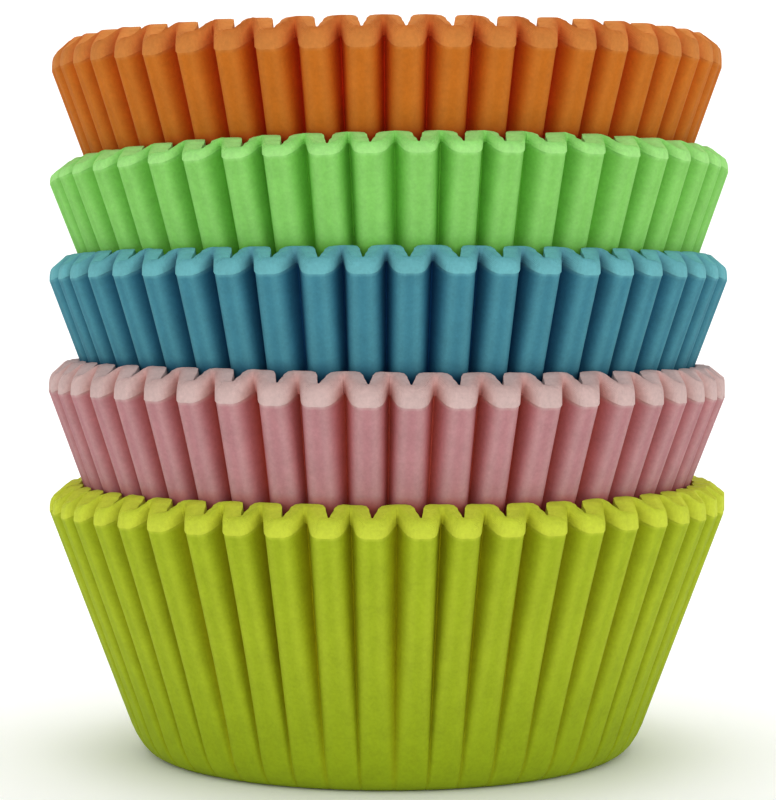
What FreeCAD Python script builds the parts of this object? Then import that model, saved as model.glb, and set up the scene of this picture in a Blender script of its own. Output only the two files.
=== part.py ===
import FreeCAD, Part

import math
import os

# A stack of paper cupcake liners: five packs of one colour each, every pack pressed from many
# liners and nested in the one below. The stack stands on the flat bottom of the lime pack, with
# the origin at the middle of that bottom and +Z up. Millimetres.
#
# A pack is one closed solid: pleats outside, a bevel of sheet edges round the rim, pleats inside
# and a flat floor. Its folds, seen from above, are the ridges that stand out and the gaps between
# them. Inside the rim each gap shows as a wide crest and each ridge as a narrow notch. The folds
# rise and fall round the rim and run out at the bottom, so a pack's faces are laid out one by one
# between rings of corners.

os.makedirs("parts", exist_ok=True)

doc = FreeCAD.newDocument("cupcake_liner_stack")
sheet = doc.addObject("Spreadsheet::Sheet", "sizes")

SIZES = {
    "pleat_count": 50,
    # the outermost liner of a pack
    "rim_radius": 35.0,
    "rim_height": 25.1,
    "wall_lean_deg": 20.56,
    "pleat_depth": 2.0,
    "gap_mouth": 1.4,
    "gap_rim_lift": 0.7,
    # its bottom corner, where the pleats run out
    "corner_height": 2.0,
    "corner_inset": 2.5,
    "corner_pleat_depth": 0.4,
    "corner_gap_mouth": 0.32,
    # the bevel of sheet edges: up to its shoulder, where the gaps are nearly closed, and over
    # to the crests, whose tops run in to the innermost liner
    "shoulder_share": 0.6,
    "shoulder_inset": 0.3,
    "shoulder_trim": 0.25,
    "shoulder_gap_inset": 0.9,
    "shoulder_gap_rise": 0.55,
    "notch_inset": 1.1,
    "notch_behind_wall": 0.4,
    "crest_inset": 1.5,
    "crest_front_width": 2.0,
    "crest_round": 0.1,
    "crest_width": 2.25,
    "crest_lift": 0.85,
    # the innermost liner
    "floor_thickness": 1.4,
    "foot_inset": 0.4,
    "inner_corner_height": 1.9,
    "inner_corner_spread": 1.8,
    # how the packs sit in each other
    "seat_clearance": 0.12,
    # each pack: wall of pressed paper, rise of its notches over its outer rim, then how it
    # sits in the pack below: a turn about the axis, a lean to the side and a lean to the front
    "lime_wall": 1.3,
    "lime_rise": 2.0,
    "lime_turn_deg": 1.5,
    "pink_wall": 0.99,
    "pink_rise": 2.3,
    "pink_turn_deg": -1.05,
    "pink_side_deg": -0.6,
    "pink_front_deg": 0.2,
    "blue_wall": 0.78,
    "blue_rise": 1.8,
    "blue_turn_deg": -0.6,
    "blue_side_deg": 0.6,
    "blue_front_deg": -0.95,
    "mint_wall": 1.36,
    "mint_rise": 1.4,
    "mint_turn_deg": 1.05,
    "mint_side_deg": 1.0,
    "mint_front_deg": -0.65,
    "orange_wall": 1.3,
    "orange_rise": 2.3,
    "orange_turn_deg": -1.05,
    "orange_side_deg": -0.6,
    "orange_front_deg": 2.8,
}

COLOURS = ["lime", "pink", "blue", "mint", "orange"]

for row, (alias, value) in enumerate(SIZES.items(), start=1):
    sheet.set(f"A{row}", alias)
    sheet.set(f"B{row}", str(value))
    sheet.setAlias(f"B{row}", alias)
doc.recompute()


def size(alias):
    return float(sheet.get(alias))


PLEATS = round(size("pleat_count"))
PITCH = 2 * math.pi / PLEATS
LEAN = math.tan(math.radians(size("wall_lean_deg")))

RIM_RADIUS = size("rim_radius")
RIM_HEIGHT = size("rim_height")
GAP_RADIUS = RIM_RADIUS - size("pleat_depth")
CORNER_HEIGHT = size("corner_height")
CORNER_RADIUS = RIM_RADIUS - LEAN * (RIM_HEIGHT - CORNER_HEIGHT)
BOTTOM_RADIUS = CORNER_RADIUS - size("corner_inset")


def at(radius, height, angle):
    return FreeCAD.Vector(radius * math.cos(angle), radius * math.sin(angle), height)


def half_land(radius, mouth):
    """Half the angle of a ridge's flat land, between the mouths of two gaps."""
    return PITCH / 2 - mouth / 2 / radius


def bottom_ring(radius, height):
    """A ring where the pleats have run out: one corner at each gap, named as a gap."""
    return [{"gap": at(radius, height, (k + 0.5) * PITCH)} for k in range(PLEATS)]


def ridge_ring(radius, height, half, gap_radius, gap_height):
    """A ring of ridges: each has a left and a right corner, and the gap after it its bottom."""
    ring = []
    for k in range(PLEATS):
        middle = k * PITCH
        ring.append({
            "left": at(radius, height, middle - half),
            "right": at(radius, height, middle + half),
            "gap": at(gap_radius, gap_height, middle + PITCH / 2),
        })
    return ring


def crest_ring(notch_radius, notch_height, crest_radius, crest_height, width):
    """A ring of crests inside the rim: a notch behind each ridge, then a crest behind its gap."""
    half = width / 2 / crest_radius
    ring = []
    for k in range(PLEATS):
        middle = (k + 0.5) * PITCH
        ring.append({
            "notch": at(notch_radius, notch_height, k * PITCH),
            "left": at(crest_radius, crest_height, middle - half),
            "right": at(crest_radius, crest_height, middle + half),
        })
    return ring


def notch_bottom_ring(radius, height):
    """A ring of the inner wall's foot: one corner at each notch."""
    return [{"notch": at(radius, height, k * PITCH)} for k in range(PLEATS)]


def patch(*corners):
    return Part.Face(Part.makePolygon([*corners, corners[0]]))


def pairs(ring):
    """Each pleat of a ring with the pleat after it."""
    return zip(ring, ring[1:] + ring[:1])


def foot_band(low, high):
    """From a bottom ring up to the ridge ring where the pleats begin."""
    faces = []
    for k in range(PLEATS):
        before = low[k - 1]["gap"]
        after = low[k]["gap"]
        pleat = high[k]
        faces.append(patch(before, after, pleat["right"], pleat["left"]))
        faces.append(patch(after, pleat["gap"], pleat["right"]))
        faces.append(patch(before, pleat["left"], high[k - 1]["gap"]))
    return faces


def ridge_band(low, high):
    """Between two ridge rings: a flat land and the two sides of a gap for each pleat."""
    faces = []
    for (a, a_next), (b, b_next) in zip(pairs(low), pairs(high)):
        faces.append(patch(a["left"], a["right"], b["right"], b["left"]))
        faces.append(patch(a["right"], a["gap"], b["gap"]))
        faces.append(patch(a["right"], b["gap"], b["right"]))
        faces.append(patch(a["gap"], a_next["left"], b_next["left"]))
        faces.append(patch(a["gap"], b_next["left"], b["gap"]))
    return faces


def shoulder_band(low, high):
    """From the bevel over to the crests: each gap runs out under its crest."""
    faces = []
    for (a, a_next), (b, b_next) in zip(pairs(low), pairs(high)):
        faces.append(patch(a["left"], a["right"], b["notch"]))
        faces.append(patch(a["right"], b["left"], b["notch"]))
        faces.append(patch(a["right"], a["gap"], b["left"]))
        faces.append(patch(a["gap"], b["right"], b["left"]))
        faces.append(patch(a["gap"], a_next["left"], b["right"]))
        faces.append(patch(a_next["left"], b_next["notch"], b["right"]))
    return faces


def crest_band(high, low):
    """Between two crest rings, over the top of the rim or down the inner wall."""
    faces = []
    for (a, a_next), (b, b_next) in zip(pairs(high), pairs(low)):
        faces.append(patch(a["left"], a["right"], b["right"], b["left"]))
        faces.append(patch(a["notch"], a["left"], b["left"]))
        faces.append(patch(a["notch"], b["left"], b["notch"]))
        faces.append(patch(a["right"], a_next["notch"], b_next["notch"]))
        faces.append(patch(a["right"], b_next["notch"], b["right"]))
    return faces


def inner_foot_band(high, low):
    """From the lowest crest ring down to the foot of the inner wall."""
    faces = []
    for (a, a_next), (b, b_next) in zip(pairs(high), pairs(low)):
        faces.append(patch(a["left"], a["right"], b_next["notch"], b["notch"]))
        faces.append(patch(a["notch"], a["left"], b["notch"]))
        faces.append(patch(a["right"], a_next["notch"], b_next["notch"]))
    return faces


def crest_place(wall, rise):
    """Radius and height of the crests at the top of a pack's inner wall."""
    return GAP_RADIUS - wall, RIM_HEIGHT + rise + size("crest_lift")


def pack_shape(wall, rise):
    """One pressed pack of liners, standing on its own flat bottom."""
    crest_radius, crest_height = crest_place(wall, rise)
    bottom = bottom_ring(BOTTOM_RADIUS, 0)
    corner = ridge_ring(
        CORNER_RADIUS,
        CORNER_HEIGHT,
        half_land(CORNER_RADIUS, size("corner_gap_mouth")),
        CORNER_RADIUS - size("corner_pleat_depth"),
        CORNER_HEIGHT,
    )
    rim = ridge_ring(
        RIM_RADIUS,
        RIM_HEIGHT,
        half_land(RIM_RADIUS, size("gap_mouth")),
        GAP_RADIUS,
        RIM_HEIGHT + size("gap_rim_lift"),
    )
    shoulder_radius = RIM_RADIUS - size("shoulder_inset")
    shoulder = ridge_ring(
        shoulder_radius,
        RIM_HEIGHT + rise * size("shoulder_share"),
        half_land(shoulder_radius, size("gap_mouth") + 2 * size("shoulder_trim")),
        RIM_RADIUS - size("shoulder_gap_inset"),
        RIM_HEIGHT + size("gap_rim_lift") + size("shoulder_gap_rise"),
    )
    crest_front = crest_ring(
        RIM_RADIUS - size("notch_inset"),
        RIM_HEIGHT + rise,
        RIM_RADIUS - size("crest_inset"),
        crest_height - size("crest_round"),
        size("crest_front_width"),
    )
    crest = crest_ring(
        RIM_RADIUS - wall - size("notch_behind_wall"),
        RIM_HEIGHT + rise - size("crest_round"),
        crest_radius,
        crest_height,
        size("crest_width"),
    )
    foot_radius = BOTTOM_RADIUS - size("foot_inset")
    inner_corner_radius = foot_radius + size("inner_corner_spread")
    inner_corner_height = size("floor_thickness") + size("inner_corner_height")
    inner_corner = crest_ring(
        inner_corner_radius + size("corner_pleat_depth"),
        inner_corner_height,
        inner_corner_radius,
        inner_corner_height,
        size("crest_width"),
    )
    foot = notch_bottom_ring(foot_radius, size("floor_thickness"))

    faces = [patch(*[pleat["gap"] for pleat in bottom])]
    faces += foot_band(bottom, corner)
    faces += ridge_band(corner, rim)
    faces += ridge_band(rim, shoulder)
    faces += shoulder_band(shoulder, crest_front)
    faces += crest_band(crest_front, crest)
    faces += crest_band(crest, inner_corner)
    faces += inner_foot_band(inner_corner, foot)
    faces.append(patch(*[pleat["notch"] for pleat in foot]))
    shell = Part.Shell(faces)
    shell.sewShape()
    solid = Part.Solid(shell)
    if solid.Volume < 0:
        solid.reverse()
    return solid


def seat_on(wall, rise, side, front, turn):
    """Where the next pack sits in a pack: its ridges rest all round on that pack's crests.

    A leaning cone cuts the level of the crests off centre, so the pack above also shifts back.
    """
    crest_radius, crest_height = crest_place(wall, rise)
    crest_half_angle = size("crest_width") / 2 / crest_radius
    touch_radius = crest_radius * math.cos(crest_half_angle) - size("seat_clearance")
    touch_height = RIM_HEIGHT - (RIM_RADIUS - touch_radius) / LEAN
    shift = touch_radius * LEAN
    lean = FreeCAD.Rotation(FreeCAD.Vector(0, 1, 0), -side).multiply(
        FreeCAD.Rotation(FreeCAD.Vector(1, 0, 0), front)
    )
    turned = lean.multiply(FreeCAD.Rotation(FreeCAD.Vector(0, 0, 1), turn))
    level = FreeCAD.Vector(
        shift * math.sin(math.radians(side)), shift * math.sin(math.radians(front)), crest_height
    )
    below = FreeCAD.Placement(FreeCAD.Vector(0, 0, -touch_height), FreeCAD.Rotation())
    return FreeCAD.Placement(level, turned).multiply(below)


def add_pack(colour):
    """A pack of one colour, with its own sizes taken from the sheet."""
    pack = doc.addObject("Part::Feature", f"{colour}_liners")
    pack.Label = f"{colour}_liners"
    for what in ("wall", "rise"):
        pack.addProperty("App::PropertyFloat", what, "Liners")
        pack.setExpression(what, f"sizes.{colour}_{what}")
    return pack


packs = [add_pack(colour) for colour in COLOURS]
doc.recompute()

place = FreeCAD.Placement(
    FreeCAD.Vector(0, 0, 0), FreeCAD.Rotation(FreeCAD.Vector(0, 0, 1), size("lime_turn_deg"))
)
for index, (pack, colour) in enumerate(zip(packs, COLOURS)):
    if index > 0:
        under = packs[index - 1]
        place = place.multiply(seat_on(
            under.wall,
            under.rise,
            size(f"{colour}_side_deg"),
            size(f"{colour}_front_deg"),
            size(f"{colour}_turn_deg"),
        ))
    pack.Shape = pack_shape(pack.wall, pack.rise)
    pack.Placement = place
doc.recompute()

for pack in packs:
    if {"Invalid", "Error"} & set(pack.State):
        raise RuntimeError(f"{pack.Label} failed: {pack.State}")
    if pack.Shape.isNull() or not pack.Shape.isValid() or len(pack.Shape.Solids) != 1:
        raise RuntimeError(f"{pack.Label} isn't one valid solid")
for pack in packs:
    pack.Shape.exportStep(f"parts/{pack.Label}.step")
    box = pack.Shape.BoundBox
    print(
        f"{pack.Label}: {len(pack.Shape.Faces)} faces, {pack.Shape.Volume / 1000:.2f} cm3,"
        f" z {box.ZMin:.2f} to {box.ZMax:.2f}, x {box.XMin:.2f} to {box.XMax:.2f},"
        f" y {box.YMin:.2f} to {box.YMax:.2f}"
    )
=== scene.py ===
import math

import bpy
import numpy as np
from mathutils import Matrix, Vector


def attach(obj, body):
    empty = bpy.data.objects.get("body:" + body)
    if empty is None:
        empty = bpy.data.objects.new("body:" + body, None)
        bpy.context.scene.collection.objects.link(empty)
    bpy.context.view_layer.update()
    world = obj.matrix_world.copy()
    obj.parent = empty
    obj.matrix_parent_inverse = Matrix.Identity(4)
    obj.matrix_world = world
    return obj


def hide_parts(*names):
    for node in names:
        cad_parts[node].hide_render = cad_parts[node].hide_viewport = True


# A stack of paper cupcake liners. Each pack of one colour is a single mesh: the outermost liner
# outside, a step for each drawn sheet edge round the rim, and the innermost liner inside.

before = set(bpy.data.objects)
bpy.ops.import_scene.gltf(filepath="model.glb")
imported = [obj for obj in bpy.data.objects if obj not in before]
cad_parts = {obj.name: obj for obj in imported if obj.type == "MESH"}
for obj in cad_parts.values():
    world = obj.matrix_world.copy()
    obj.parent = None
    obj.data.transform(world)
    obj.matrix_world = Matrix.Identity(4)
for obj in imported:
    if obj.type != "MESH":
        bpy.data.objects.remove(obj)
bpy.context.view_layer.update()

MM = 0.001

# The liner's sizes that the solids also have, in millimetres
PLEATS = 50
RIM_RADIUS = 35.0
RIM_HEIGHT = 25.1
LEAN = math.tan(math.radians(20.56))
PLEAT_DEPTH = 2.0
NOTCH_BEHIND_WALL = 0.4
CREST_WIDTH = 2.25
CREST_LIFT = 0.85
FLOOR = 1.4
INNER_CORNER_HEIGHT = 3.3
CORNER_PLEAT_DEPTH = 0.4
SEAT_CLEARANCE = 0.12

# The sizes that are the scene's own, in millimetres
GAP_MOUTH = 2.1
GAP_DEPTH = 2.6
GAP_RIM_LIFT = 1.1
CORNER_HEIGHT = 3.2
CORNER_GAP_DEPTH = 0.42
CORNER_LAND = 1.34
BOTTOM_RADIUS = 23.8
BOTTOM_ROW_INSETS = (3.0, 0.9)
FOOT_RADIUS = 23.4
FLOOR_ROW_INSET = 2.5
INNER_CORNER_RADIUS = 25.2
CREST_FLAT = 2.95
NOTCH_DROP = 0.25
NOTCH_LAND = 0.10
LIP_RADIUS = 34.3
LIP_HEIGHT = 26.35
LIP_LAND = 1.25
LIP_GAP = 0.12
CREASE_DEPTH = 1.5
SHEET = 0.06
LEAST_RISER = 0.012
HAIR = 0.01

# How uneven a pack's pleats are: the slack in their spacing and their lands and their least depth,
# as shares, then the slack in their height and in how far a ridge wanders, in millimetres
SPACING_SLACK = 0.045
LAND_SLACK = 0.05
LEAST_DEPTH = 0.88
LIFT_SLACK = 0.05
SKEW_SLACK = 0.1

# The waviness of a sheet's edge: how many waves go round the rim, and their size in millimetres
RIM_WAVES = (1, 2, 4, 7, 13, 29)
RIM_WAVE_SIZE = 0.02

# The powers of the cosine and sine that round the rim's shoulders: a low one is square
RIDGE_SHOULDER = 0.6
GAP_SHOULDER = 0.5

# Shares of the way over the rim, from the outermost sheet's edge to the innermost one's: where
# the creases over the gaps have run out, and the last stretch, where an upright side leans back
CREASE_SHARE = 0.85
LEAN_BACK_SHARE = 0.15

# The right side of the rims, as cosines of the angle from +X: where the sheets' edges begin to
# stand upright, and how much further on they do so in full
UPRIGHT_FROM = 0.55
UPRIGHT_OVER = 0.4

# The painted tones: how quickly the painted shade in a fold darkens with its depth, how dark the
# painted shade is in the folds inside the cup and in the creases, how far the colour of the wear
# and painted highlight on a fold goes to that of the cut edges, and the painted shadow on a wall
# at heights over the crests of the pack below
FOLD_SHADE_POWER = 1.1
INNER_FOLD_SHADE = 0.3
CREASE_SHADE = 0.85
WEAR_AND_HIGHLIGHT_SHARE = 0.3
PAINTED_SHADOW_HEIGHTS = [-0.5, 0.2, 0.9]
PAINTED_SHADOW_TONES = [0.9, 0.2, 0.0]

# How much wear and painted highlight a fold has at each point of half a pleat, from its ridge's
# middle to its gap's: most on the ridge's rounded shoulders
WEAR_AND_HIGHLIGHT = [0.5, 0.6, 0.8, 1.0, 0.8, 0.4, 0.1, 0.0, 0.0, 0.0, 0.0, 0.0]

# The paper's clouds, flecks and tooth: how fine each is, per metre, then detail and roughness.
# The tooth's height is in metres.
CLOUD = (420.0, 3.0, 0.55)
FLECK = (2600.0, 4.0, 0.65)
TOOTH = (5200.0, 5.0, 0.6)
FLECK_SHARE = 0.55
MOTTLE_RANGE = (0.34, 0.66)
DARKEST_MOTTLE = 0.8
TOOTH_STRENGTH = 0.35
TOOTH_HEIGHT = 0.00005

# The rows of points up a pack's outer wall, which begin a little below its seat, and down its
# inner wall, where there are more in the open cup
WALL_ROWS = 11
BELOW_SEAT = 2.5
ABOVE_CORNER = 2.0
BELOW_RIM = 0.3
OPEN_ROWS = 12
COVERED_ROWS = 4

# Each pack's wall and the rise of its notches, the number of its drawn sheets, the turn and the
# leans to the side and the front with which it sits in the pack below, and its random seed.
# square is how upright the sheets' edges stand on the rim's right side. narrow and drop take a
# rim in and down by some millimetres. Then come the colours of its wall, of its cut edges, which
# are paler partly by painted light from above, and of the painted shade in its folds.
PACKS = {
    "lime": dict(
        wall=1.3, rise=2.0, sheets=20, turn=1.5, side=0.0, front=0.0, seed=11,
        square=1.0,
        paper=(0.305, 0.405, 0.010), edge=(0.59, 0.67, 0.052), shade_colour=(0.37, 0.345, 0.0007),
    ),
    "pink": dict(
        wall=0.99, rise=2.3, sheets=22, turn=-1.05, side=-0.6, front=0.2, seed=12,
        square=0.85,
        paper=(0.445, 0.175, 0.20), edge=(0.63, 0.455, 0.43), shade_colour=(0.45, 0.06, 0.03),
    ),
    "blue": dict(
        wall=0.78, rise=1.8, sheets=18, turn=-0.6, side=0.6, front=-0.95, seed=13,
        square=0.35,
        paper=(0.033, 0.175, 0.25), edge=(0.15, 0.45, 0.49), shade_colour=(0.0003, 0.034, 0.115),
    ),
    "mint": dict(
        wall=1.36, rise=1.4, sheets=16, turn=1.05, side=1.0, front=-0.65, seed=14,
        square=0.8,
        paper=(0.205, 0.55, 0.10), edge=(0.37, 0.77, 0.23), shade_colour=(0.155, 0.53, 0.045),
    ),
    "orange": dict(
        wall=1.3, rise=2.3, sheets=22, turn=-1.05, side=-0.6, front=3.0, seed=15,
        square=0.7, narrow=0.45, drop=0.2,
        paper=(0.53, 0.138, 0.006), edge=(0.61, 0.215, 0.045), shade_colour=(0.56, 0.023, 0.0004),
    ),
}


def smooth_noise(rng, angles, waves, size):
    """A gentle random waviness round the ring, of about the given size."""
    total = np.zeros_like(angles)
    for wave in waves:
        total += np.cos(wave * angles + rng.uniform(0, 2 * math.pi)) * rng.uniform(0.4, 1.0)
    return size * total / math.sqrt(len(waves))


class Pleats:
    """The uneven spacing and width of one pack's pleats, the same in all its sheets."""

    def __init__(self, seed):
        self.rng = np.random.default_rng(seed)
        pitch = 2 * math.pi / PLEATS
        spacing = self.rng.uniform(-SPACING_SLACK, SPACING_SLACK, PLEATS)
        self.ridge = (np.arange(PLEATS) + spacing) * pitch
        following = np.roll(self.ridge, -1)
        following[-1] += 2 * math.pi
        self.gap_after = (self.ridge + following) / 2
        self.gap_before = np.roll(self.gap_after, 1)
        self.gap_before[0] -= 2 * math.pi
        self.land = self.rng.uniform(1 - LAND_SLACK, 1 + LAND_SLACK, PLEATS)
        self.depth = self.rng.uniform(LEAST_DEPTH, 1.0, PLEATS)
        self.lift = self.rng.uniform(-LIFT_SLACK, LIFT_SLACK, PLEATS)
        self.skew = self.rng.uniform(-SKEW_SLACK, SKEW_SLACK, PLEATS)


def bend(start, corner, end, share):
    """A point on the rounded turn from start past a corner to end."""
    return (1 - share) ** 2 * start + 2 * share * (1 - share) * corner + share ** 2 * end


def half_pleat(reach, land, gap, depth, out_round, in_round, dish):
    """Half a pleat from its ridge's middle to the gap's middle, as (along, inset) points.

    reach is the way along to the gap's middle; land and gap are half the flats' widths.
    """
    edge = np.stack([land, np.zeros_like(land)], 1)
    root = np.stack([reach - gap, depth], 1)
    flank = root - edge
    length = np.maximum(np.linalg.norm(flank, axis=1, keepdims=True), 1e-6)
    way = flank / length
    out_step = np.minimum(out_round, 0.45 * length)
    in_step = np.minimum(in_round, 0.45 * length)
    back = np.minimum(out_round, 0.6 * land)[:, None] * np.array([1.0, 0.0])
    ahead = np.minimum(in_round, 0.6 * gap)[:, None] * np.array([1.0, 0.0])
    middle = np.stack([np.zeros_like(land), dish], 1)
    points = [middle, 0.4 * middle + 0.6 * (edge - back)]
    points += [bend(edge - back, edge, edge + way * out_step, s) for s in (0, 0.25, 0.5, 0.75, 1)]
    points.append((edge + root) / 2)
    points += [bend(root - way * in_step, root, root + ahead, s) for s in (0.0, 0.5, 1.0)]
    points.append(np.stack([reach, depth], 1))
    return points


def ring(pleats, ridge_radius, ridge_height, gap_radius, gap_height, land, gap,
         out_round=0.16, in_round=0.14, dish=0.0, skew=0.0, even=0.0,
         fold_shade=0.0, wear_and_highlight=0.0, edge=0.0):
    """One closed row of points round a pack: angle, radius, height and three tones.

    land and gap are half the widths of a ridge's land and of a gap's bottom. even draws the
    pleats' own unevenness back to nothing. The tones, from 0 to 1, are the painted shade deep in
    a fold, the wear and painted highlight on a fold's shoulders, and how much of it is cut edges,
    whose paler colour is partly painted light from above. A negative fold shade is deep at the
    ridge instead, as it is inside.
    """
    loose = 1 - even
    depth = (ridge_radius - gap_radius) * (1 - loose * (1 - pleats.depth))
    lands = land * (1 - loose * (1 - pleats.land))
    dishes = np.full(PLEATS, dish)
    ridge = pleats.ridge + skew * pleats.skew / ridge_radius
    halves = []
    for side, middle in ((-1, pleats.gap_before), (1, pleats.gap_after)):
        reach = np.abs(middle - ridge) * ridge_radius
        gaps = np.maximum(np.minimum(gap, reach - lands - 0.02), 0.03)
        half = []
        points = half_pleat(reach, lands, gaps, depth, out_round, in_round, dishes)
        for (along, inset), wear_and_highlight_level in zip((point.T for point in points), WEAR_AND_HIGHLIGHT):
            drop = np.clip(inset / max(ridge_radius - gap_radius, 1e-6), 0, 1)
            half.append(np.stack([
                ridge + side * along / ridge_radius,
                ridge_radius - inset,
                ridge_height + (gap_height - ridge_height) * drop + loose * pleats.lift,
                # painted shade, darker the deeper in the fold
                fold_shade * drop ** FOLD_SHADE_POWER if fold_shade > 0 else -fold_shade * (1 - drop),
                # wear and painted highlight, most on the fold's shoulders
                np.full(PLEATS, wear_and_highlight * wear_and_highlight_level),
                np.full(PLEATS, edge),
            ], 1))
        halves.append(half)
    left, right = halves
    return np.stack(left[:0:-1] + right[:-1], 1).reshape(-1, 6)


def placed(cells):
    """The points of a row of cells."""
    angle, radius, height = cells[:, :3].T
    return np.stack([radius * np.cos(angle), radius * np.sin(angle), height], 1)


def mix(a, b, share):
    return a + (b - a) * share


def wall_radius(height):
    return RIM_RADIUS - LEAN * (RIM_HEIGHT - height)


def outer_rows(pleats, heights):
    """The outermost liner, from the flat bottom round the corner and up the wall."""
    made = []
    for inset in BOTTOM_ROW_INSETS:
        radius = BOTTOM_RADIUS - inset
        made.append(ring(
            pleats, radius, 0.0, radius - HAIR, 2 * HAIR, land=1.2, gap=0.05, even=1.0,
        ))
    foot = np.array([BOTTOM_RADIUS, 0.0])
    turn = np.array([wall_radius(0.0) - 0.1, 0.0])
    top = np.array([wall_radius(CORNER_HEIGHT), CORNER_HEIGHT])
    for share in (0.0, 0.2, 0.4, 0.6, 0.8):
        radius, height = bend(foot, turn, top, share)
        depth = mix(0.06, 0.34, share)
        made.append(ring(
            pleats, radius, height, radius - depth, height + 0.1 * depth,
            land=mix(1.30, 1.33, share), gap=mix(0.03, 0.08, share),
            # painted shade in the gaps, growing up the corner
            out_round=0.3, even=1 - share, fold_shade=0.5 * share,
        ))
    rim_land = math.pi * RIM_RADIUS / PLEATS - GAP_MOUTH / 2
    for height in heights:
        share = (height - CORNER_HEIGHT) / (RIM_HEIGHT - CORNER_HEIGHT)
        radius = wall_radius(height)
        made.append(ring(
            pleats, radius, height,
            radius - mix(CORNER_GAP_DEPTH, GAP_DEPTH, share), height + GAP_RIM_LIFT * share,
            land=mix(CORNER_LAND, rim_land, share), gap=mix(0.04, 0.06, share),
            out_round=mix(0.5, 1.0, share), in_round=0.1, dish=0.04,
            skew=math.sin(math.pi * share),
            # painted shade in the gaps, and wear with painted highlight on the folds from halfway
            # up
            fold_shade=mix(0.5, 1.0, min(1.0, 2 * share)), wear_and_highlight=min(1.0, 2 * share),
            # the cut edges' colour at the top row, paler partly by painted light from above
            edge=0.5 if height == RIM_HEIGHT else 0.0,
        ))
    return made


def shoulder(start, end, power, shares):
    """Radii and heights at shares of a rounded shoulder's length, from start up and in to end."""
    turn = np.linspace(0, math.pi / 2, 400)
    radius = end[0] + (start[0] - end[0]) * np.cos(turn) ** power
    height = start[1] + (end[1] - start[1]) * np.sin(turn) ** power
    steps = np.hypot(np.diff(radius), np.diff(height))
    along = np.concatenate([[0.0], np.cumsum(steps)])
    at = np.asarray(shares) * along[-1]
    return np.interp(at, along, radius), np.interp(at, along, height)


def rim_shapes(pack, shares):
    """The rows of the sheets' edges, from the lip over the outermost liner to the innermost one.

    Over each ridge the edges rise to a notch, and over each gap they fill out to a rounded bump.
    """
    notch = (
        RIM_RADIUS - pack["wall"] - NOTCH_BEHIND_WALL,
        RIM_HEIGHT + pack["rise"] - NOTCH_DROP,
    )
    crest = crest_place(pack)
    edge = (RIM_RADIUS - HAIR, RIM_HEIGHT + 2 * HAIR)
    ridges = shoulder(edge, notch, RIDGE_SHOULDER, shares)
    gaps = shoulder((LIP_RADIUS, LIP_HEIGHT), crest, GAP_SHOULDER, shares)
    shapes = []
    for share, ridge_radius, ridge_height, gap_radius, gap_height in zip(shares, *ridges, *gaps):
        crease = max(0.0, 1 - share / CREASE_SHARE) ** 1.5
        shapes.append(dict(
            ridge_radius=ridge_radius,
            ridge_height=ridge_height,
            gap_radius=gap_radius - CREASE_DEPTH * crease,
            gap_height=gap_height,
            land=mix(LIP_LAND, NOTCH_LAND, share ** 1.6),
            gap=mix(LIP_GAP, CREST_FLAT / 2, share ** 3),
            out_round=mix(0.9, 0.3, share),
            in_round=mix(0.2, 0.6, share),
            dish=0.0,
            even=0.7 * share,
            # painted shade in the creases over the gaps
            fold_shade=CREASE_SHADE * crease,
            # the cut edges' own paler colour, partly painted light from above
            edge=1.0,
        ))
    return shapes


def rim_rows(pleats, pack):
    """A tread and a riser for the edge of each sheet.

    On the rim's right side the edges stand more upright, so their rows keep further out.
    """
    made = []
    heights = None
    shares = np.linspace(0.0, 1.0, pack["sheets"])
    for sheet, shape in enumerate(rim_shapes(pack, shares)):
        cells = ring(pleats, **shape)
        on_right = np.clip((np.cos(cells[:, 0]) - UPRIGHT_FROM) / UPRIGHT_OVER, 0, 1)
        upright = pack["square"] * min(1.0, (1 - shares[sheet]) / LEAN_BACK_SHARE)
        cells[:, 1] += on_right * upright * (RIM_RADIUS - shape["ridge_radius"])
        wavy = smooth_noise(pleats.rng, cells[:, 0], RIM_WAVES, RIM_WAVE_SIZE)
        fade = math.sin(math.pi * shares[sheet])
        cells[:, 2] += wavy * fade
        if heights is not None:
            tread = cells.copy()
            tread[:, 2] = heights
            made.append(tread)
            cells[:, 2] = np.maximum(cells[:, 2], heights + LEAST_RISER)
        made.append(cells)
        heights = cells[:, 2]
    return made


def inner_rows(pleats, pack, rows):
    """The innermost liner, from its edge down to the flat floor."""
    lip = rim_shapes(pack, [1.0])[0]
    lip["ridge_radius"] -= SHEET
    made = []
    made.append(ring(pleats, **lip))
    ends = dict(
        ridge_radius=INNER_CORNER_RADIUS + CORNER_PLEAT_DEPTH,
        ridge_height=INNER_CORNER_HEIGHT,
        gap_radius=INNER_CORNER_RADIUS, gap_height=INNER_CORNER_HEIGHT,
        land=NOTCH_LAND, gap=CREST_WIDTH / 2, out_round=0.1, in_round=0.3, dish=0.0, even=1.0,
        # painted shade in the folds inside the cup, behind the ridges
        fold_shade=-INNER_FOLD_SHADE, edge=0.0,
    )
    for step in range(1, rows + 1):
        share = step / rows
        made.append(ring(pleats, **{key: mix(lip[key], ends[key], share) for key in ends}))
    for share in (0.35, 0.7, 1.0):
        radius = mix(INNER_CORNER_RADIUS, FOOT_RADIUS, share ** 0.8)
        height = mix(INNER_CORNER_HEIGHT, FLOOR, 1 - (1 - share) ** 1.5)
        depth = mix(CORNER_PLEAT_DEPTH, 0.03, share)
        made.append(ring(
            pleats, radius + depth, height, radius, height, land=NOTCH_LAND, gap=1.1,
            out_round=0.1, dish=0.0, even=1.0,
        ))
    radius = FOOT_RADIUS - FLOOR_ROW_INSET
    made.append(ring(
        pleats, radius, FLOOR, radius - HAIR, FLOOR, land=NOTCH_LAND, gap=1.0,
        dish=0.0, even=1.0,
    ))
    return made


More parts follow.
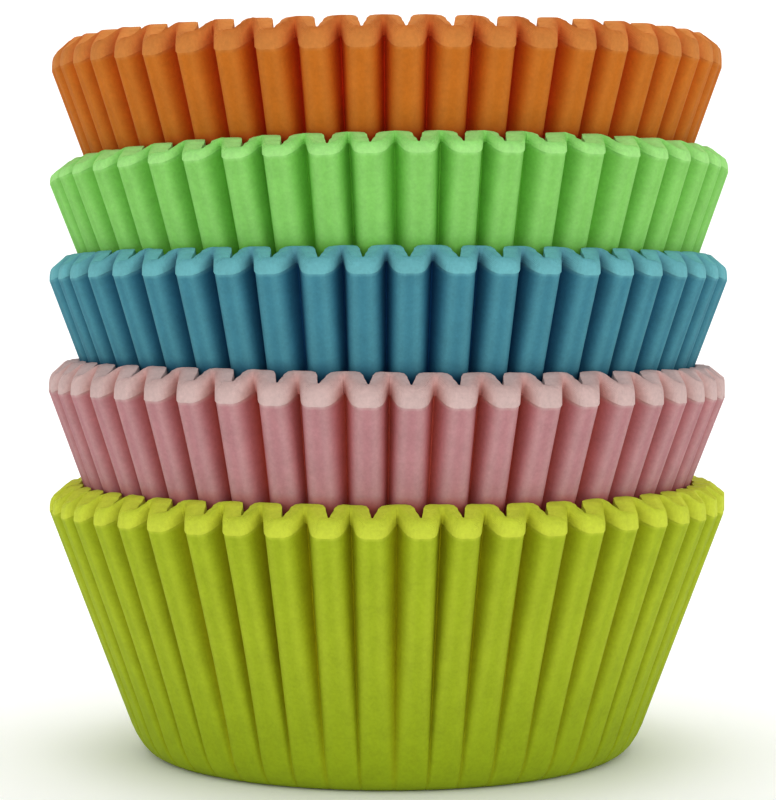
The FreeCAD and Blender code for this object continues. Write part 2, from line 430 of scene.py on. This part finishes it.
def crest_place(pack):
    """Radius and height of the crests at the top of a pack's inner wall."""
    return RIM_RADIUS - PLEAT_DEPTH - pack["wall"], RIM_HEIGHT + pack["rise"] + CREST_LIFT


def touch_place(below):
    """Radius and height on a pack's wall where it rests on the crests of the pack below."""
    crest_radius = crest_place(below)[0]
    radius = crest_radius * math.cos(CREST_WIDTH / 2 / crest_radius) - SEAT_CLEARANCE
    return radius, RIM_HEIGHT - (RIM_RADIUS - radius) / LEAN


def seat_on(below, pack):
    """Where a pack sits in the pack below: its ridges rest all round on that pack's crests."""
    touch_radius, touch_height = touch_place(below)
    side = math.radians(pack["side"])
    front = math.radians(pack["front"])
    shift = touch_radius * LEAN
    level = Vector((shift * math.sin(side), shift * math.sin(front), crest_place(below)[1]))
    turned = (
        Matrix.Rotation(-side, 4, "Y")
        @ Matrix.Rotation(front, 4, "X")
        @ Matrix.Rotation(math.radians(pack["turn"]), 4, "Z")
    )
    return Matrix.Translation(level) @ turned @ Matrix.Translation((0, 0, -touch_height))


def wall_heights(seat_height):
    """The heights of the rows up a wall, close together where it shows."""
    low = [CORNER_HEIGHT]
    if seat_height:
        low += [seat_height / 2]
    start = seat_height - BELOW_SEAT if seat_height else CORNER_HEIGHT + ABOVE_CORNER
    return low + list(np.linspace(start, RIM_HEIGHT - BELOW_RIM, WALL_ROWS)) + [RIM_HEIGHT]


def pack_mesh(name, pack, below, seat, place, inside_rows):
    """The mesh of one pack. seat is its place in the pack below and place its place in all."""
    pleats = Pleats(pack["seed"])
    seat_height = touch_place(below)[1] if below else 0.0
    outer = outer_rows(pleats, wall_heights(seat_height))
    if below:
        # Painted shadow: the wall takes the folds' painted shade where it goes down behind the
        # crests of the pack below.
        crest_height = crest_place(below)[1]
        for cells in outer:
            points = placed(cells) @ np.array(seat.to_3x3()).T + np.array(seat.translation)
            above = points[:, 2] - crest_height
            painted_shadow = np.interp(above, PAINTED_SHADOW_HEIGHTS, PAINTED_SHADOW_TONES)
            cells[:, 3] = np.maximum(cells[:, 3], painted_shadow)
    rim = rim_rows(pleats, pack)
    rows = outer + rim + inner_rows(pleats, pack, inside_rows)
    cells = np.concatenate(rows)
    way_up = np.clip(cells[:, 2] / RIM_HEIGHT, 0, 1)
    cells[:, 1] -= pack.get("narrow", 0.0) * way_up
    cells[:, 2] -= pack.get("drop", 0.0) * way_up
    points = (placed(cells) @ np.array(place.to_3x3()).T + np.array(place.translation)) * MM

    around = len(rows[0])
    here = np.arange(around)
    after = np.roll(here, -1)
    quads = []
    for row in range(len(rows) - 1):
        low = row * around
        high = low + around
        quads.append(np.stack([low + here, low + after, high + after, high + here], 1))
    faces = np.concatenate(quads).tolist()
    faces.append(here[::-1].tolist())
    faces.append((here + (len(rows) - 1) * around).tolist())

    mesh = bpy.data.meshes.new(name)
    mesh.from_pydata(points.tolist(), [], faces)
    sheets = range((len(outer) - 1) * around, (len(outer) + len(rim)) * around)
    smooth = np.ones(len(faces), dtype=bool)
    smooth[list(sheets)] = False
    mesh.polygons.foreach_set("use_smooth", smooth)
    for column, tone in enumerate(("fold_shade", "wear_and_highlight", "edge"), start=3):
        layer = mesh.attributes.new(tone, "FLOAT", "POINT")
        layer.data.foreach_set("value", cells[:, column])
    mesh.update()
    mesh.validate()
    return mesh


def add_noise(nodes, links, coordinates, scale, detail, roughness):
    noise = nodes.new("ShaderNodeTexNoise")
    noise.inputs["Scale"].default_value = scale
    noise.inputs["Detail"].default_value = detail
    noise.inputs["Roughness"].default_value = roughness
    links.new(coordinates, noise.inputs["Vector"])
    return noise.outputs["Fac"]


def mix_colours(nodes, links, factor, colour, other, way="MIX"):
    """A colour output that mixes two colours, each a plain colour or an output."""
    node = nodes.new("ShaderNodeMix")
    node.data_type = "RGBA"
    node.blend_type = way
    if factor is None:
        node.inputs["Factor"].default_value = 1.0
    else:
        links.new(factor, node.inputs["Factor"])
    for key, value in (("A", colour), ("B", other)):
        if isinstance(value, tuple):
            node.inputs[key].default_value = [*value, 1]
        else:
            links.new(value, node.inputs[key])
    return node.outputs["Result"]


def paper(name, pack):
    """Matte greaseproof paper: cloudy, flecked, with wear and painted highlight on its folds and
    painted shade in its gaps.
    """
    material = bpy.data.materials.new(name)
    material.use_nodes = True
    nodes = material.node_tree.nodes
    links = material.node_tree.links
    shader = nodes["Principled BSDF"]
    shader.inputs["Roughness"].default_value = 0.85
    shader.inputs["Specular IOR Level"].default_value = 0.12
    tones = {}
    for tone in ("fold_shade", "wear_and_highlight", "edge"):
        layer = nodes.new("ShaderNodeAttribute")
        layer.attribute_name = tone
        tones[tone] = layer.outputs["Fac"]
    # Wear and painted highlight on the folds' shoulders, paler towards the cut edges' colour
    wear_and_highlight = tuple(mix(*pair, WEAR_AND_HIGHLIGHT_SHARE) for pair in zip(pack["paper"], pack["edge"]))
    colour = mix_colours(nodes, links, tones["wear_and_highlight"], pack["paper"], wear_and_highlight)
    # the cut edges' colour, paler partly by painted light from above on the rim
    colour = mix_colours(nodes, links, tones["edge"], colour, pack["edge"])
    # painted shade deep in the folds and creases
    colour = mix_colours(nodes, links, tones["fold_shade"], colour, pack["shade_colour"])

    coordinates = nodes.new("ShaderNodeTexCoord").outputs["Object"]
    cloud = add_noise(nodes, links, coordinates, *CLOUD)
    fleck = add_noise(nodes, links, coordinates, *FLECK)
    both = nodes.new("ShaderNodeMix")
    both.inputs["Factor"].default_value = FLECK_SHARE
    links.new(cloud, both.inputs["A"])
    links.new(fleck, both.inputs["B"])
    mottle = nodes.new("ShaderNodeValToRGB")
    dark, light = mottle.color_ramp.elements
    dark.position, light.position = MOTTLE_RANGE
    dark.color = (DARKEST_MOTTLE, DARKEST_MOTTLE, DARKEST_MOTTLE, 1)
    light.color = (1, 1, 1, 1)
    links.new(both.outputs["Result"], mottle.inputs["Fac"])
    colour = mix_colours(nodes, links, None, colour, mottle.outputs["Color"], "MULTIPLY")
    links.new(colour, shader.inputs["Base Color"])

    tooth = add_noise(nodes, links, coordinates, *TOOTH)
    bump = nodes.new("ShaderNodeBump")
    bump.inputs["Strength"].default_value = TOOTH_STRENGTH
    bump.inputs["Distance"].default_value = TOOTH_HEIGHT
    links.new(tooth, bump.inputs["Height"])
    links.new(bump.outputs["Normal"], shader.inputs["Normal"])
    return material


def build_packs():
    """The five packs, each placed in the one below it."""
    place = Matrix.Rotation(math.radians(PACKS["lime"]["turn"]), 4, "Z")
    below = None
    seat = None
    for colour, pack in PACKS.items():
        if below:
            seat = seat_on(below, pack)
            place = place @ seat
        inside_rows = OPEN_ROWS if colour == "orange" else COVERED_ROWS
        mesh = pack_mesh(f"{colour}_paper", pack, below, seat, place, inside_rows)
        mesh.materials.append(paper(f"{colour}_paper", pack))
        piece = bpy.data.objects.new(f"{colour}_paper", mesh)
        bpy.context.scene.collection.objects.link(piece)
        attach(piece, "root")
        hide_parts(f"{colour}_liners")
        below = pack


def build_stage():
    """A pale floor that sweeps up behind the stack."""
    half_width = 4.0
    front = -6.0
    bend_start = 0.7
    bend_radius = 0.4
    height = 1.6
    line = [(front, 0.0), (bend_start, 0.0)]
    for step in range(1, 13):
        angle = math.pi / 2 * step / 12
        line.append((
            bend_start + bend_radius * math.sin(angle), bend_radius * (1 - math.cos(angle))
        ))
    line.append((bend_start + bend_radius, height))
    points = [(x, y, z) for y, z in line for x in (-half_width, half_width)]
    faces = [(2 * k, 2 * k + 1, 2 * k + 3, 2 * k + 2) for k in range(len(line) - 1)]
    mesh = bpy.data.meshes.new("floor")
    mesh.from_pydata(points, [], faces)
    mesh.polygons.foreach_set("use_smooth", [True] * len(faces))
    material = bpy.data.materials.new("floor")
    material.use_nodes = True
    shader = material.node_tree.nodes["Principled BSDF"]
    shader.inputs["Base Color"].default_value = (0.97, 0.97, 0.97, 1)
    shader.inputs["Roughness"].default_value = 0.9
    shader.inputs["Specular IOR Level"].default_value = 0.1
    mesh.materials.append(material)
    floor = bpy.data.objects.new("floor", mesh)
    bpy.context.scene.collection.objects.link(floor)


def add_light(name, place, aim, power, width):
    light = bpy.data.lights.new(name, "AREA")
    light.energy = power
    light.size = width
    lamp = bpy.data.objects.new(name, light)
    lamp.location = place
    way = Vector(aim) - Vector(place)
    lamp.rotation_euler = way.to_track_quat("-Z", "Y").to_euler()
    bpy.context.scene.collection.objects.link(lamp)


def build_light():
    """Soft light from above, from both sides of the camera and from low in front of the stack.

    The back lamp is for the backdrop.
    """
    world = bpy.data.worlds.new("studio")
    world.use_nodes = True
    background = world.node_tree.nodes["Background"]
    background.inputs["Color"].default_value = (1, 1, 1, 1)
    background.inputs["Strength"].default_value = 0.76
    bpy.context.scene.world = world
    middle = (0, 0, 0.04)
    add_light("right", (1.4, -1.4, 0.7), middle, 4.9, 0.9)
    add_light("left", (-1.4, -1.4, 0.7), middle, 2.7, 0.9)
    add_light("top", (0.0, 0.0, 1.0), middle, 3.4, 1.0)
    add_light("back", (0.0, 0.4, 1.0), (0.0, 1.1, 0.2), 3.0, 0.8)
    add_light("low", (0.0, -1.8, 0.18), (0, 0, 0.02), 3.2, 0.7)
    bpy.context.scene.view_settings.view_transform = "Standard"


def build_camera():
    """The photograph's view: close, as high as the mint pack and looking a little down."""
    focal_pixels = 2428.8
    picture_height = 800
    sensor = 36.0
    distance = 0.2536
    height = 0.0468
    down = math.radians(2.377)
    camera = bpy.data.cameras.new("camera")
    camera.sensor_width = sensor
    camera.lens = focal_pixels / picture_height * sensor
    camera.clip_start = 0.01
    camera.clip_end = 20
    item = bpy.data.objects.new("camera", camera)
    item.location = (0.0001, -distance, height)
    item.rotation_euler = (math.pi / 2 - down, 0, 0)
    bpy.context.scene.collection.objects.link(item)
    bpy.context.scene.camera = item


build_packs()
build_stage()
build_light()
build_camera()
